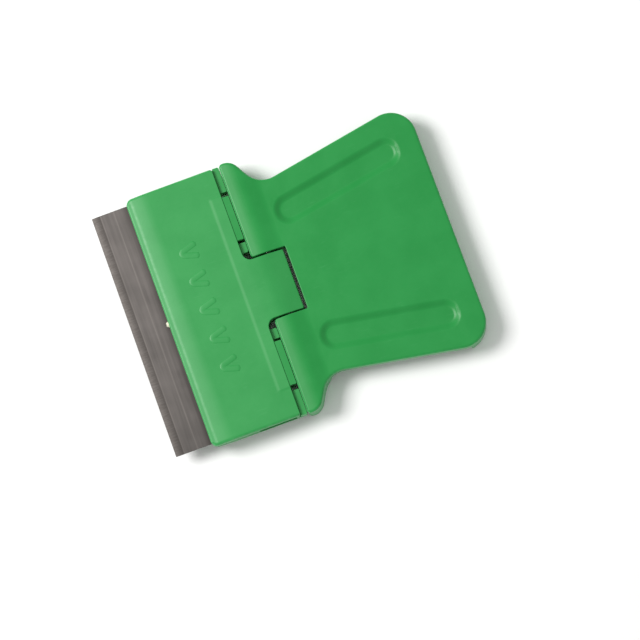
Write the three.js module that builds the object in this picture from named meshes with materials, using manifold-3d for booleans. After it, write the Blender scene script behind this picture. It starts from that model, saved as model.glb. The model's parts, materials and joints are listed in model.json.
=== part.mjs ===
// Pocket blade scraper: a flat handle, and a head that holds a single-edge
// blade and folds down and under the handle on a steel pin.
//
// All sizes are in millimetres. The drawing frame has x = 0 at the cutting
// edge with +x towards the end of the handle, y = 0 on the centre line with
// the edge running along y, and z = 0 on the table that the scraper lies on.
// The finished group is shifted so that its origin is the middle of the
// footprint, on the table.

import * as THREE from "three";
import { mergeVertices } from "three/addons/utils/BufferGeometryUtils.js";
import Module from "manifold-3d";

const wasm = await Module();
wasm.setup();

// ---------------------------------------------------------------- sizes

// Overall
const LENGTH = 51;
const FLANGE_HALF_WIDTH = 20.3;

// Hinge
const HINGE = { x: 23.5, z: 2.1 };
const PIN_RADIUS = 0.9;
const PIN_HALF_LENGTH = 17.2;
const PRESS_FIT_GAP = 0.03;
const RUNNING_GAP = 0.07;
const KNUCKLE_RADIUS = 2.6;
const CROWN_TOP = 4.85;
const CROWN_REAR = 22.9;
const CROWN_EDGE_ROUND = 0.5;

// Handle plate
const PLATE_BOTTOM = 2.5;
const PLATE_TOP = 4.35;
const RAMP_FOOT = 25.6;
const LIP_FRONT = 47.6;
const NOTCH = { halfWidth: 5.1, rear: 26.3, mouthRound: 0.5 };
const FLANGE = { shoulder: 22.9, cornerRound: 0.6, shoulderRound: 2.3 };
const WAIST = { x: 25.8, y: 15.35, round: 3.6 };
const HANDLE_END = { y: 19.83, round: 4 };
const RECESS = { front: 26.9, rear: 47.3, inner: 7.95, width: 3.95, round: 1.85, depth: 0.5 };

// Blade: a number 9 single-edge blade
const BLADE = { halfWidth: 19.4, height: 19, thickness: 0.23, bevel: 1.3, z: 3.26 };
const SPINE = { height: 5.7, thickness: 1.27, fold: 0.45, crimpGap: 0.02 };

// Head
const HEAD = { front: 5.7, rear: 19.75, halfWidth: 20.1, bottom: 1.85, top: 4.7,
               frontRound: 1, rearRound: 0.4 };
const PARTING = { bottom: 3.09, top: 3.11 };
const FRONT_LIP = { depth: 0.6, z: 4.25, rampRear: 7.5 };
const UNDER_BEVEL = { rear: 8.7, z: 2.75 };
const SLOT_HALF_HEIGHT = 0.15;
const POCKET = { front: 13.2, rear: 19.1, bottom: 2.56, top: 3.96, closedEnd: 19.5 };
const RIDGE = { front: 17.9, rampRear: 18.1, halfWidth: 15.6, top: 4.82 };
const TAB = { halfWidth: 4.8, rear: 25.8, radius: 2.3, bottom: 0.1, rootRound: 1.3, sideRound: 0.2,
              crownRear: 22.2, rearTop: 4.15, edgeCut: 0.2 };
const CATCH = { front: 19.78, rear: 20.83, lipTop: 4.1, tongueTop: 4.72, overlap: 0.4,
                inner: 8.25, outer: 15.3, innerSlit: 0.45, outerSlit: 0.8, innerEnd: 6.2 };
const MARK = { count: 5, pitch: 4.6, x: 12, length: 4.4, halfSpan: 1.5, stroke: 1.1, height: 0.1 };

const ROUND_SEGMENTS = 24;
const ARC_SEGMENTS = 6;
const BEYOND = 2; // how far a cutting tool runs past the face that it cuts

// ------------------------------------------------------- drawing helpers

// A closed outline of straight sides, whose corners are [x, y, radius]. A
// corner without a radius is sharp.
function roundedOutline(corners) {
  const shape = new THREE.Shape();
  corners.forEach(([x, y, radius = 0], i) => {
    const corner = new THREE.Vector2(x, y);
    const before = new THREE.Vector2(...corners.at(i - 1).slice(0, 2)).sub(corner).normalize();
    const after = new THREE.Vector2(...corners[(i + 1) % corners.length].slice(0, 2)).sub(corner).normalize();
    const halfAngle = Math.acos(before.dot(after)) / 2;
    const setback = radius / Math.tan(halfAngle);
    const start = corner.clone().addScaledVector(before, setback);
    if (i === 0) shape.moveTo(start.x, start.y);
    else shape.lineTo(start.x, start.y);
    if (radius === 0) return;
    const toCentre = before.clone().add(after).setLength(radius / Math.sin(halfAngle));
    const centre = corner.clone().add(toCentre);
    const end = corner.clone().addScaledVector(after, setback);
    const clockwise = before.cross(after) > 0;
    shape.absarc(centre.x, centre.y, radius, Math.atan2(start.y - centre.y, start.x - centre.x),
                 Math.atan2(end.y - centre.y, end.x - centre.x), clockwise);
  });
  shape.closePath();
  return shape;
}

function rectangle(x0, x1, y0, y1) {
  return roundedOutline([[x0, y0], [x1, y0], [x1, y1], [x0, y1]]);
}

// A circle about the hinge, in side view.
function hingeCircle(radius) {
  const shape = new THREE.Shape();
  for (let i = 0; i < ROUND_SEGMENTS; i += 1) {
    const angle = (2 * Math.PI * i) / ROUND_SEGMENTS;
    const point = [HINGE.x + radius * Math.cos(angle), HINGE.z + radius * Math.sin(angle)];
    if (i === 0) shape.moveTo(...point);
    else shape.lineTo(...point);
  }
  shape.closePath();
  return shape;
}

// A flat shape made solid, with its two end faces placed exactly, so that
// faces that share a plane share it to the last digit. The near face starts at
// depth 0 and the far one at depth 1, and place(u, v, isFarFace) says where a
// point goes.
function extruded(shape, place) {
  const options = { depth: 1, bevelEnabled: false, curveSegments: ARC_SEGMENTS };
  const geometry = new THREE.ExtrudeGeometry(shape, options);
  const position = geometry.attributes.position;
  for (let i = 0; i < position.count; i += 1) {
    const isFarFace = position.getZ(i) > 0;
    position.setXYZ(i, ...place(position.getX(i), position.getY(i), isFarFace));
  }
  return geometry;
}

// A plan outline in x and y, raised from z0 to z1.
function slab(shape, z0, z1) {
  return extruded(shape, (x, y, isFarFace) => [x, y, isFarFace ? z1 : z0]);
}

// A side profile in x and z, drawn out along y from y0 to y1.
function bar(shape, y0, y1) {
  return extruded(shape, (x, z, isFarFace) => [x, isFarFace ? y0 : y1, z]);
}

// ------------------------------------------------------- solid booleans

function solid(geometry) {
  const bare = geometry.clone();
  bare.deleteAttribute("normal");
  bare.deleteAttribute("uv");
  const merged = mergeVertices(bare);
  return new wasm.Manifold(new wasm.Mesh({
    numProp: 3,
    vertProperties: new Float32Array(merged.attributes.position.array),
    triVerts: new Uint32Array(merged.index.array),
  }));
}

function geometryOf(shape) {
  const mesh = shape.getMesh();
  const geometry = new THREE.BufferGeometry();
  geometry.setAttribute("position", new THREE.BufferAttribute(new Float32Array(mesh.vertProperties), 3));
  geometry.setIndex(new THREE.BufferAttribute(new Uint32Array(mesh.triVerts), 1));
  geometry.computeVertexNormals();
  return geometry;
}

function without(shape, ...cutters) {
  return cutters.reduce((rest, cutter) => rest.subtract(solid(cutter)), shape);
}

function joined(shape, ...pieces) {
  return pieces.reduce((whole, piece) => whole.add(solid(piece)), shape);
}

// Left and right copies of what make(side) draws.
function bothSides(make) {
  return [-1, 1].map(make);
}

// A slab between two distances from the centre line, on one side of it.
function sideSlab(side, x0, x1, inner, outer, z0, z1) {
  return slab(rectangle(x0, x1, Math.min(side * inner, side * outer), Math.max(side * inner, side * outer)),
              z0, z1);
}

// --------------------------------------------------------------- handle

// Side view of the handle: hinge barrel with a square front shoulder, a thin
// plate behind it, and a lip at the far end that shields the folded edge.
function handleProfile() {
  const shape = new THREE.Shape();
  const barrelFoot = Math.asin(HINGE.z / KNUCKLE_RADIUS);
  const plateMeet = Math.asin((PLATE_BOTTOM - HINGE.z) / KNUCKLE_RADIUS);
  const front = HINGE.x - KNUCKLE_RADIUS;
  shape.moveTo(front, CROWN_TOP - CROWN_EDGE_ROUND);
  shape.absarc(HINGE.x, HINGE.z, KNUCKLE_RADIUS, Math.PI, Math.PI + barrelFoot, false);
  shape.absarc(HINGE.x, HINGE.z, KNUCKLE_RADIUS, -barrelFoot, plateMeet, false);
  shape.lineTo(LIP_FRONT, PLATE_BOTTOM);
  shape.lineTo(LIP_FRONT, 0);
  shape.lineTo(LENGTH, 0);
  shape.lineTo(LENGTH, PLATE_TOP);
  shape.lineTo(RAMP_FOOT, PLATE_TOP);
  shape.lineTo(CROWN_REAR, CROWN_TOP);
  shape.absarc(front + CROWN_EDGE_ROUND, CROWN_TOP - CROWN_EDGE_ROUND, CROWN_EDGE_ROUND,
               Math.PI / 2, Math.PI, false);
  return shape;
}

// Plan of the handle: flanges at the hinge, a waist, and sides that flare
// towards a rounded end.
function handleOutline() {
  const front = HINGE.x - KNUCKLE_RADIUS;
  const oneSide = [
    [front, FLANGE_HALF_WIDTH, FLANGE.cornerRound],
    [FLANGE.shoulder, FLANGE_HALF_WIDTH, FLANGE.shoulderRound],
    [WAIST.x, WAIST.y, WAIST.round],
    [LENGTH, HANDLE_END.y, HANDLE_END.round],
  ];
  const otherSide = oneSide.map(([x, y, radius]) => [x, -y, radius]).reverse();
  return roundedOutline([...oneSide, ...otherSide]);
}

// The gap between the flanges that takes the head's tab.
function notchOutline() {
  const front = HINGE.x - KNUCKLE_RADIUS;
  const mouth = NOTCH.halfWidth + NOTCH.mouthRound;
  return roundedOutline([
    [front - BEYOND, -NOTCH.halfWidth - BEYOND],
    [front, -mouth],
    [front + NOTCH.mouthRound, -NOTCH.halfWidth],
    [NOTCH.rear, -NOTCH.halfWidth],
    [NOTCH.rear, NOTCH.halfWidth],
    [front + NOTCH.mouthRound, NOTCH.halfWidth],
    [front, mouth],
    [front - BEYOND, NOTCH.halfWidth + BEYOND],
  ]);
}

// One of the two shallow channels in the top, which run along the sides.
function recessOutline(side) {
  const flare = (HANDLE_END.y - WAIST.y) / (LENGTH - WAIST.x);
  const rearInner = RECESS.inner + flare * (RECESS.rear - RECESS.front);
  return roundedOutline([
    [RECESS.front, side * RECESS.inner, RECESS.round],
    [RECESS.rear, side * rearInner, RECESS.round],
    [RECESS.rear, side * (rearInner + RECESS.width), RECESS.round],
    [RECESS.front, side * (RECESS.inner + RECESS.width), RECESS.round],
  ]);
}

function makeHandle() {
  const body = solid(bar(handleProfile(), -FLANGE_HALF_WIDTH, FLANGE_HALF_WIDTH))
    .intersect(solid(slab(handleOutline(), -BEYOND, CROWN_TOP + BEYOND)));
  const pinHole = hingeCircle(PIN_RADIUS + PRESS_FIT_GAP);
  return geometryOf(without(body,
    slab(notchOutline(), -BEYOND, CROWN_TOP + BEYOND),
    bar(pinHole, -PIN_HALF_LENGTH - PRESS_FIT_GAP, FLANGE_HALF_WIDTH + BEYOND),
    ...bothSides((side) => slab(recessOutline(side), PLATE_TOP - RECESS.depth, PLATE_TOP + BEYOND))));
}

function makeHingePin() {
  return geometryOf(solid(bar(hingeCircle(PIN_RADIUS), -PIN_HALF_LENGTH, PIN_HALF_LENGTH)));
}

// ----------------------------------------------------------------- head

// Plan of the tray, and of the cover without its tab.
function headOutline() {
  return roundedOutline([
    [HEAD.front, -HEAD.halfWidth, HEAD.frontRound],
    [HEAD.rear, -HEAD.halfWidth, HEAD.rearRound],
    [HEAD.rear, HEAD.halfWidth, HEAD.rearRound],
    [HEAD.front, HEAD.halfWidth, HEAD.frontRound],
  ]);
}

// Plan of the cover, whose tab leaves the back edge in two hollow corners.
function coverOutline() {
  const oneSide = [
    [HEAD.front, HEAD.halfWidth, HEAD.frontRound],
    [HEAD.rear, HEAD.halfWidth, HEAD.rearRound],
    [HEAD.rear, TAB.halfWidth, TAB.rootRound],
    [TAB.rear, TAB.halfWidth, TAB.sideRound],
  ];
  const otherSide = oneSide.map(([x, y, radius]) => [x, -y, radius]).reverse();
  return roundedOutline([...oneSide, ...otherSide]);
}

// Side view of the cover. From the front: a low lip, a ramp, the flat top, a
// slightly higher strip, and the tab, whose top falls away towards its square
// rear corner, and which is round underneath so that it can turn.
function coverProfile() {
  const foot = Math.asin((HINGE.z - TAB.bottom) / TAB.radius);
  const rootMeet = Math.asin((HINGE.z - HEAD.bottom) / TAB.radius);
  const weldFace = HEAD.rear + PARTING.top - PARTING.bottom;
  const shape = new THREE.Shape();
  shape.moveTo(HEAD.front, PARTING.top);
  shape.lineTo(weldFace, PARTING.top);
  shape.lineTo(weldFace, HEAD.bottom);
  shape.absarc(HINGE.x, HINGE.z, TAB.radius, Math.PI + rootMeet, Math.PI + foot, false);
  shape.absarc(HINGE.x, HINGE.z, TAB.radius, -foot, 0, false);
  shape.lineTo(TAB.rear, TAB.rearTop - TAB.edgeCut);
  shape.lineTo(TAB.rear - TAB.edgeCut, TAB.rearTop);
  shape.lineTo(TAB.crownRear, RIDGE.top);
  shape.lineTo(RIDGE.rampRear, RIDGE.top);
  shape.lineTo(RIDGE.front, HEAD.top);
  shape.lineTo(FRONT_LIP.rampRear, HEAD.top);
  shape.lineTo(HEAD.front + FRONT_LIP.depth, FRONT_LIP.z);
  shape.lineTo(HEAD.front, FRONT_LIP.z);
  shape.closePath();
  return shape;
}

// The room for the blade: a thin slot, and a deeper pocket for its spine.
// Both are open at the side where the blade slides in, at negative y.
function bladeRoom() {
  const openEnd = -HEAD.halfWidth - BEYOND;
  return [
    slab(rectangle(HEAD.front - BEYOND, POCKET.rear, openEnd, POCKET.closedEnd),
         BLADE.z - SLOT_HALF_HEIGHT, BLADE.z + SLOT_HALF_HEIGHT),
    slab(rectangle(POCKET.front, POCKET.rear, openEnd, POCKET.closedEnd), POCKET.bottom, POCKET.top),
  ];
}

// The higher strip stops short of the sides of the head.
function ridgeEnd(side) {
  return sideSlab(side, RIDGE.front - BEYOND, HEAD.rear + BEYOND, RIDGE.halfWidth,
                  HEAD.halfWidth + BEYOND, HEAD.top, RIDGE.top + BEYOND);
}

// A raised arrowhead that points at the cutting edge.
function arrowMark(index) {
  const y = (index - (MARK.count - 1) / 2) * MARK.pitch;
  const tip = MARK.x - MARK.length / 2;
  const tail = MARK.x + MARK.length / 2;
  const shape = roundedOutline([
    [tip, y],
    [tail - MARK.stroke, y - MARK.halfSpan],
    [tail, y - MARK.halfSpan],
    [tip + MARK.stroke, y],
    [tail, y + MARK.halfSpan],
    [tail - MARK.stroke, y + MARK.halfSpan],
  ]);
  return slab(shape, HEAD.top - MARK.height, HEAD.top + MARK.height);
}

function makeHeadTopShell() {
  const cover = solid(bar(coverProfile(), -HEAD.halfWidth, HEAD.halfWidth))
    .intersect(solid(slab(coverOutline(), 0, HEAD.top + BEYOND)));
  const levelled = without(cover, ...bothSides(ridgeEnd), ...bladeRoom(),
    bar(hingeCircle(PIN_RADIUS + RUNNING_GAP), -TAB.halfWidth - BEYOND, TAB.halfWidth + BEYOND));
  return geometryOf(joined(levelled, ...Array.from({ length: MARK.count }, (_, index) => arrowMark(index))));
}

// The long bevel under the front, which lets the blade lie at a low angle.
function underBevelProfile() {
  return roundedOutline([
    [HEAD.front - BEYOND, HEAD.bottom - BEYOND],
    [UNDER_BEVEL.rear, HEAD.bottom - BEYOND],
    [UNDER_BEVEL.rear, HEAD.bottom],
    [HEAD.front, UNDER_BEVEL.z],
    [HEAD.front - BEYOND, UNDER_BEVEL.z],
  ]);
}

// The strip that stands up behind the cover: a catch tongue that rests against
// the handle's flange, and a lower lip on each side of it, beyond a slit.
function catchStrip(side) {
  const parts = [
    { inner: CATCH.innerEnd, outer: CATCH.inner - CATCH.innerSlit, top: CATCH.lipTop },
    { inner: CATCH.inner, outer: CATCH.outer, top: CATCH.tongueTop },
    { inner: CATCH.outer + CATCH.outerSlit, outer: HEAD.halfWidth, top: CATCH.lipTop },
  ];
  return parts.flatMap(({ inner, outer, top }) => [
    sideSlab(side, HEAD.rear - CATCH.overlap, CATCH.rear, inner, outer, HEAD.bottom, PARTING.bottom),
    sideSlab(side, CATCH.front, CATCH.rear, inner, outer, HEAD.bottom, top),
  ]);
}

function makeHeadBottomShell() {
  const tray = solid(slab(headOutline(), HEAD.bottom, PARTING.bottom));
  const shaped = without(tray, ...bladeRoom(),
    bar(underBevelProfile(), -HEAD.halfWidth - BEYOND, HEAD.halfWidth + BEYOND));
  return geometryOf(joined(shaped, ...bothSides(catchStrip).flat()));
}

// ---------------------------------------------------------------- blade

// The ground steel sheet, with its two bevels meeting at the edge.
function makeBlade() {
  const half = BLADE.thickness / 2;
  const back = BLADE.height - SPINE.fold;
  const profile = roundedOutline([
    [0, BLADE.z],
    [BLADE.bevel, BLADE.z - half],
    [back, BLADE.z - half],
    [back, BLADE.z + half],
    [BLADE.bevel, BLADE.z + half],
  ]);
  return geometryOf(solid(bar(profile, -BLADE.halfWidth, BLADE.halfWidth)));
}

// The strip folded over the back of the sheet and crimped onto it.
function makeBladeSpine() {
  const half = SPINE.thickness / 2;
  const front = BLADE.height - SPINE.height;
  const profile = roundedOutline([
    [front, BLADE.z - half],
    [BLADE.height, BLADE.z - half, half],
    [BLADE.height, BLADE.z + half, half],
    [front, BLADE.z + half],
  ]);
  const slotHalf = BLADE.thickness / 2 + SPINE.crimpGap;
  const slotRear = BLADE.height - SPINE.fold + SPINE.crimpGap;
  const slot = roundedOutline([
    [front - BEYOND, BLADE.z - slotHalf],
    [slotRear, BLADE.z - slotHalf],
    [slotRear, BLADE.z + slotHalf],
    [front - BEYOND, BLADE.z + slotHalf],
  ]);
  return geometryOf(without(solid(bar(profile, -BLADE.halfWidth, BLADE.halfWidth)),
    bar(slot, -BLADE.halfWidth - BEYOND, BLADE.halfWidth + BEYOND)));
}

// ------------------------------------------------------------- assembly

function piece(name, geometry, color, roughness, metalness) {
  const mesh = new THREE.Mesh(geometry, new THREE.MeshStandardMaterial({ color, roughness, metalness }));
  mesh.name = name;
  return mesh;
}

const blade = new THREE.Group();
blade.add(
  piece("blade", makeBlade(), 0x7d7672, 0.35, 0.9),
  piece("blade_spine", makeBladeSpine(), 0x55504d, 0.45, 0.9),
);

const head = new THREE.Group();
head.add(
  piece("head_top_shell", makeHeadTopShell(), 0x4ba660, 0.5, 0),
  piece("head_bottom_shell", makeHeadBottomShell(), 0x3f9d4f, 0.5, 0),
  blade,
);

const scraper = new THREE.Group();
scraper.add(
  piece("handle", makeHandle(), 0x37984e, 0.5, 0),
  piece("hinge_pin", makeHingePin(), 0xa9aaa8, 0.3, 1),
  head,
);
scraper.position.x = -LENGTH / 2;

export default scraper;
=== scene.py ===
# %% [markdown]
# # A pocket blade scraper
# This notebook dresses a small folding scraper: a green moulded handle, a head
# that holds a single-edge blade, and the steel pin between them. The packed
# model already settles every size and every joint. Here each part gets its
# fine shape (soft rims, channels, a ground bevel) and its finish.

# %% Load the fixed frame
import json
import math

import bmesh
import bpy
import numpy as np
from mathutils import Matrix, Vector
from mathutils.geometry import delaunay_2d_cdt


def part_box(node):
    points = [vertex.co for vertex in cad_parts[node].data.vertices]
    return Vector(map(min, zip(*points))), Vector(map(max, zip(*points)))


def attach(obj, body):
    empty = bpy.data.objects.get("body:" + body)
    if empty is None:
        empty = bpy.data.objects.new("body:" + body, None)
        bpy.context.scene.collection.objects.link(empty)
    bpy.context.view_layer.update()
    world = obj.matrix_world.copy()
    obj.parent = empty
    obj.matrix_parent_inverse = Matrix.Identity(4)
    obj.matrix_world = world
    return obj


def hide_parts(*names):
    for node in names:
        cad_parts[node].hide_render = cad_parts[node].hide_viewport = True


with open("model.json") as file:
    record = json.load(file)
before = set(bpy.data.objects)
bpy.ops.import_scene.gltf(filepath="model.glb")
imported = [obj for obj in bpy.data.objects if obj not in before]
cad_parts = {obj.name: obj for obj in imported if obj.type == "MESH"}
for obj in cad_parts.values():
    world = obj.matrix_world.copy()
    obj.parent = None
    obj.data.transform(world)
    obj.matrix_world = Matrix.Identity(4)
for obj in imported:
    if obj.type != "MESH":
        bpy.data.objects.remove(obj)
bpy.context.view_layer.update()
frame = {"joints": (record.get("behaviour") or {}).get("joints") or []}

MM = 0.001

# %% [markdown]
# ## Sizes
# All sizes below are in millimetres. x counts from the cutting edge towards
# the end of the handle, y from the middle, and z up from the table. The ones
# that the frame knows are read from it, so the pieces fit without any shifting.

# %% Sizes that the frame knows
EDGE_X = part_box("blade")[0].x    # where the cutting edge is in the frame, in metres


def box_mm(node):
    """Lowest and highest corner of a node, in millimetres behind the edge."""
    return [(corner - Vector((EDGE_X, 0, 0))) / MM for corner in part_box(node)]


def place(x, y, z):
    """A point given in millimetres behind the edge, as metres in the frame."""
    return (EDGE_X + x * MM, y * MM, z * MM)


HANDLE_LOW, HANDLE_HIGH = box_mm("handle")
COVER_LOW, COVER_HIGH = box_mm("head_top_shell")
TRAY_LOW, TRAY_HIGH = box_mm("head_bottom_shell")
BLADE_LOW, BLADE_HIGH = box_mm("blade")
SPINE_LOW, SPINE_HIGH = box_mm("blade_spine")
PIN_LOW, PIN_HIGH = box_mm("hinge_pin")
HINGE = (Vector(frame["joints"][0]["pos_m"]) - Vector((EDGE_X, 0, 0))) / MM
PIN_RADIUS = (PIN_HIGH.z - PIN_LOW.z) / 2
BLADE_Z = (BLADE_LOW.z + BLADE_HIGH.z) / 2
print(f"handle {HANDLE_LOW.x:.1f} to {HANDLE_HIGH.x:.1f} mm, hinge at x {HINGE.x:.2f} z {HINGE.z:.2f}")

# %% Sizes of the head
HEAD_FRONT = COVER_LOW.x
HEAD_REAR = HANDLE_LOW.x - 1.15
HEAD_HALF = COVER_HIGH.y
RIDGE_TOP = COVER_HIGH.z
HEAD_TOP = RIDGE_TOP - 0.12
RIDGE_FRONT = HEAD_REAR - 2.15
RIDGE_RAMP = 0.7
RIDGE_STEP = 0.45
RIDGE_RISE = 2.8
RIDGE_HALF = 15.6
PARTING = BLADE_Z - 0.16
PARTING_GAP = 0.02
TAB_HALF = 4.8
TAB_REAR = COVER_HIGH.x
TAB_RADIUS = TAB_REAR - HINGE.x
TAB_ROOT = 1.3
SLOT_HALF = 0.15
POCKET_PLAY = 0.1
POCKET_FRONT = SPINE_LOW.x - POCKET_PLAY
POCKET_REAR = SPINE_HIGH.x + POCKET_PLAY
POCKET_END = BLADE_HIGH.y + POCKET_PLAY
POCKET_HEADROOM = 0.065
POCKET_FLOOR = SPINE_LOW.z - POCKET_HEADROOM
POCKET_ROOF = SPINE_HIGH.z + POCKET_HEADROOM

# %% Sizes of the handle
BARREL_RADIUS = HINGE.x - HANDLE_LOW.x
PLATE_TOP = HANDLE_HIGH.z - 0.5
PLATE_BOTTOM = PLATE_TOP - 1.85
LIP_FRONT = HANDLE_HIGH.x - 3.4
NOTCH_HALF = TAB_HALF + 0.3
NOTCH_REAR = TAB_REAR + 0.5
MOUTH_ROUND = 0.5
WAIST = (HANDLE_LOW.x + 4.9, HANDLE_HIGH.y - 4.95, 3.6)    # x, y and corner radius
HANDLE_END = (HANDLE_HIGH.x, HANDLE_HIGH.y - 0.47, 4.0)    # the same
FLARE = (HANDLE_END[1] - WAIST[1]) / (HANDLE_END[0] - WAIST[0])
CHANNEL_FRONT = NOTCH_REAR + 0.6
CHANNEL_REAR = LIP_FRONT - 0.3
CHANNEL_INNER = 7.95
CHANNEL_WIDTH = 3.95
CHANNEL_ROUND = 1.85
CHANNEL_DEPTH = 0.5
print(f"head {2 * HEAD_HALF:.1f} mm wide, plate {PLATE_TOP - PLATE_BOTTOM:.2f} mm thick")

# %% [markdown]
# ## Tools for flat moulded parts
# The handle, the cover and the tray are all flat mouldings: seen from above
# each has one outline, and above every point of it there is one top height and
# one bottom height. A subdivision cage or a Bevel modifier could make them, but
# the bevel breaks where round corners meet narrow slits. Here the plan is cut
# into triangles with the rim's rings as edges, and each point is then lifted to
# its height, so every rounded rim follows its formula exactly.

# %% Outlines
ARC_STEP = math.radians(6)


def rounded_outline(corners):
    """Points and outward normals of an anticlockwise outline with corners (x, y, radius)."""
    points, normals = [], []
    count = len(corners)
    for index, (x, y, radius) in enumerate(corners):
        corner = Vector((x, y))
        before = (Vector(corners[index - 1][:2]) - corner).normalized()
        after = (Vector(corners[(index + 1) % count][:2]) - corner).normalized()
        half = math.acos(max(-1.0, min(1.0, before.dot(after)))) / 2
        turn = 1 if before.cross(after) < 0 else -1
        inward = (before + after).normalized()
        centre = corner + inward * (radius / math.sin(half))
        sweep = math.pi - 2 * half
        steps = max(2, math.ceil(sweep / ARC_STEP))
        start = -inward
        for step in range(steps + 1):
            angle = turn * sweep * (step / steps - 0.5)
            ray = Vector((start.x * math.cos(angle) - start.y * math.sin(angle),
                          start.x * math.sin(angle) + start.y * math.cos(angle)))
            points.append(centre + ray * radius)
            normals.append(ray * turn)
    return np.array(points), np.array(normals)


def mirrored(corners):
    """The corners of one side, from front to back at negative y, followed by their mirror images."""
    return corners + [(x, -y, radius) for x, y, radius in reversed(corners)]


example, _ = rounded_outline([(0, 0, 1), (4, 0, 1), (4, 3, 1), (0, 3, 1)])
print("a rounded rectangle has", len(example), "points")

# %% Distance from an outline
def outline_distance(points, loop, values):
    """Distance of each point from a closed loop, and the loop's value at the nearest place."""
    start, end = loop, np.roll(loop, -1, axis=0)
    side = end - start
    length_squared = np.maximum((side ** 2).sum(1), 1e-12)
    nearest = np.full(len(points), np.inf)
    found = np.zeros(len(points))
    next_values = np.roll(values, -1)
    for a, edge, square, v0, v1 in zip(start, side, length_squared, values, next_values):
        along = np.clip(((points - a) @ edge) / square, 0, 1)
        distance = np.hypot(*(points - a - along[:, None] * edge).T)
        closer = distance < nearest
        nearest[closer] = distance[closer]
        found[closer] = (v0 + along * (v1 - v0))[closer]
    return nearest, found


def inside(points, loop):
    """True for each point that lies inside a closed loop."""
    x, y = points.T
    result = np.zeros(len(points), bool)
    for (x0, y0), (x1, y1) in zip(loop, np.roll(loop, -1, axis=0)):
        crosses = (y0 > y) != (y1 > y)
        with np.errstate(divide="ignore", invalid="ignore"):
            result ^= crosses & (x < (x1 - x0) * (y - y0) / (y1 - y0) + x0)
    return result


def round_drop(distance, radius):
    """How far a rim of that radius has dropped, at a distance in from the outline."""
    radius = np.maximum(radius, 1e-6)
    reach = np.clip(radius - distance, 0, radius)
    return radius - np.sqrt(radius ** 2 - reach ** 2)


# %% The moulded plate
RIM_ANGLES = np.radians([0, 15, 30, 45, 60, 75, 90])
WEAR_AND_HIGHLIGHT_SPREAD = 1.5    # width of the pale rim band of wear and painted highlight, in rim radii
KEEP_INSIDE = 1      # tells the triangulation to keep what lies inside the border
MERGE_DISTANCE = 1e-6


def add_loop(loop, points, edges):
    """Adds a closed loop of points, and the edges along it."""
    first = len(points)
    points.extend(loop.tolist())
    edges.extend((first + i, first + (i + 1) % len(loop)) for i in range(len(loop)))


def moulded_plate(name, corners, top, bottom, rim_top, rim_bottom, stations=(), creases=(), sunk=()):
    """A flat moulding. top and bottom give heights, and rim_top and rim_bottom the rim's radii, at (x, y).

    stations are the x where a height bends, and creases are other lines where it does. A sunk area is an
    outline, insets from it, and the drop at each inset.
    """
    loop, normals = rounded_outline(corners)
    radius_top, radius_bottom = rim_top(*loop.T), rim_bottom(*loop.T)
    points, edges = [], []
    add_loop(loop, points, edges)
    border = list(range(len(loop)))
    for angle in RIM_ANGLES[1:]:
        inset = np.maximum(radius_top, radius_bottom) * (1 - math.cos(angle))
        add_loop(loop - normals * inset[:, None], points, edges)
    add_loop(loop - normals * WEAR_AND_HIGHLIGHT_SPREAD * radius_top[:, None], points, edges)
    reach = np.abs(loop[:, 1]).max() + 1
    lines = [((x, -reach), (x, reach)) for x in stations] + list(creases)
    for ends in lines:
        edges.append((len(points), len(points) + 1))
        points.extend(ends)
    for area, insets, drops in sunk:
        area_loop, area_normals = rounded_outline(area)
        for inset in insets:
            add_loop(area_loop - area_normals * inset, points, edges)
    flat, _, triangles, _, _, _ = delaunay_2d_cdt([Vector(p) for p in points], edges, [border],
                                                  KEEP_INSIDE, MERGE_DISTANCE)
    plan = np.array([tuple(p) for p in flat])
    triangles = np.array(triangles)
    middle = plan[triangles].mean(axis=1)
    triangles = triangles[inside(middle, loop)]
    distance, radius = outline_distance(plan, loop, radius_top)
    _, radius_under = outline_distance(plan, loop, radius_bottom)
    high = top(*plan.T) - round_drop(distance, radius)
    low = bottom(*plan.T) + round_drop(distance, radius_under)
    for area, insets, drops in sunk:
        area_loop, _ = rounded_outline(area)
        depth, _ = outline_distance(plan, area_loop, np.zeros(len(area_loop)))
        depth = np.where(inside(plan, area_loop), depth, -depth)
        high -= np.interp(depth, insets, drops)
    # how pale the rim band is: partly wear, partly a painted highlight along the rims
    wear_and_highlight = np.clip(1 - distance / (WEAR_AND_HIGHLIGHT_SPREAD * radius), 0, 1)
    return closed_mesh(name, plan, triangles, high, low, wear_and_highlight)


def closed_mesh(name, plan, triangles, high, low, wear_and_highlight):
    """Top and bottom skins over one plan, joined by a wall along the plan's border."""
    corners = np.concatenate([triangles[:, [0, 1]], triangles[:, [1, 2]], triangles[:, [2, 0]]])
    present = set(map(tuple, corners.tolist()))
    wall = [(a, b) for a, b in present if (b, a) not in present]
    vertices = [place(x, y, z) for skin in (high, low) for (x, y), z in zip(plan.tolist(), skin.tolist())]
    count = len(plan)
    faces = triangles.tolist() + (triangles[:, ::-1] + count).tolist()
    faces += [[a + count, b + count, b, a] for a, b in wall]
    piece = built(name, vertices, faces)
    wear_and_highlight_on_mesh = piece.data.attributes.new("wear_and_highlight", "FLOAT", "POINT")
    wear_and_highlight_on_mesh.data.foreach_set("value", np.concatenate([wear_and_highlight, wear_and_highlight]))
    piece.data.validate()
    return piece


def linked_object(name, mesh):
    """An object in the scene that shows the mesh."""
    piece = bpy.data.objects.new(name, mesh)
    bpy.context.scene.collection.objects.link(piece)
    return piece


def built(name, vertices, faces):
    """An object made of vertices and faces."""
    mesh = bpy.data.meshes.new(name)
    mesh.from_pydata(vertices, [], faces)
    return linked_object(name, mesh)


def profile_height(profile):
    """A height function of x from the points (x, z) of a profile."""
    xs, zs = np.array(profile).T
    return lambda x, y: np.interp(x, xs, zs)


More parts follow.
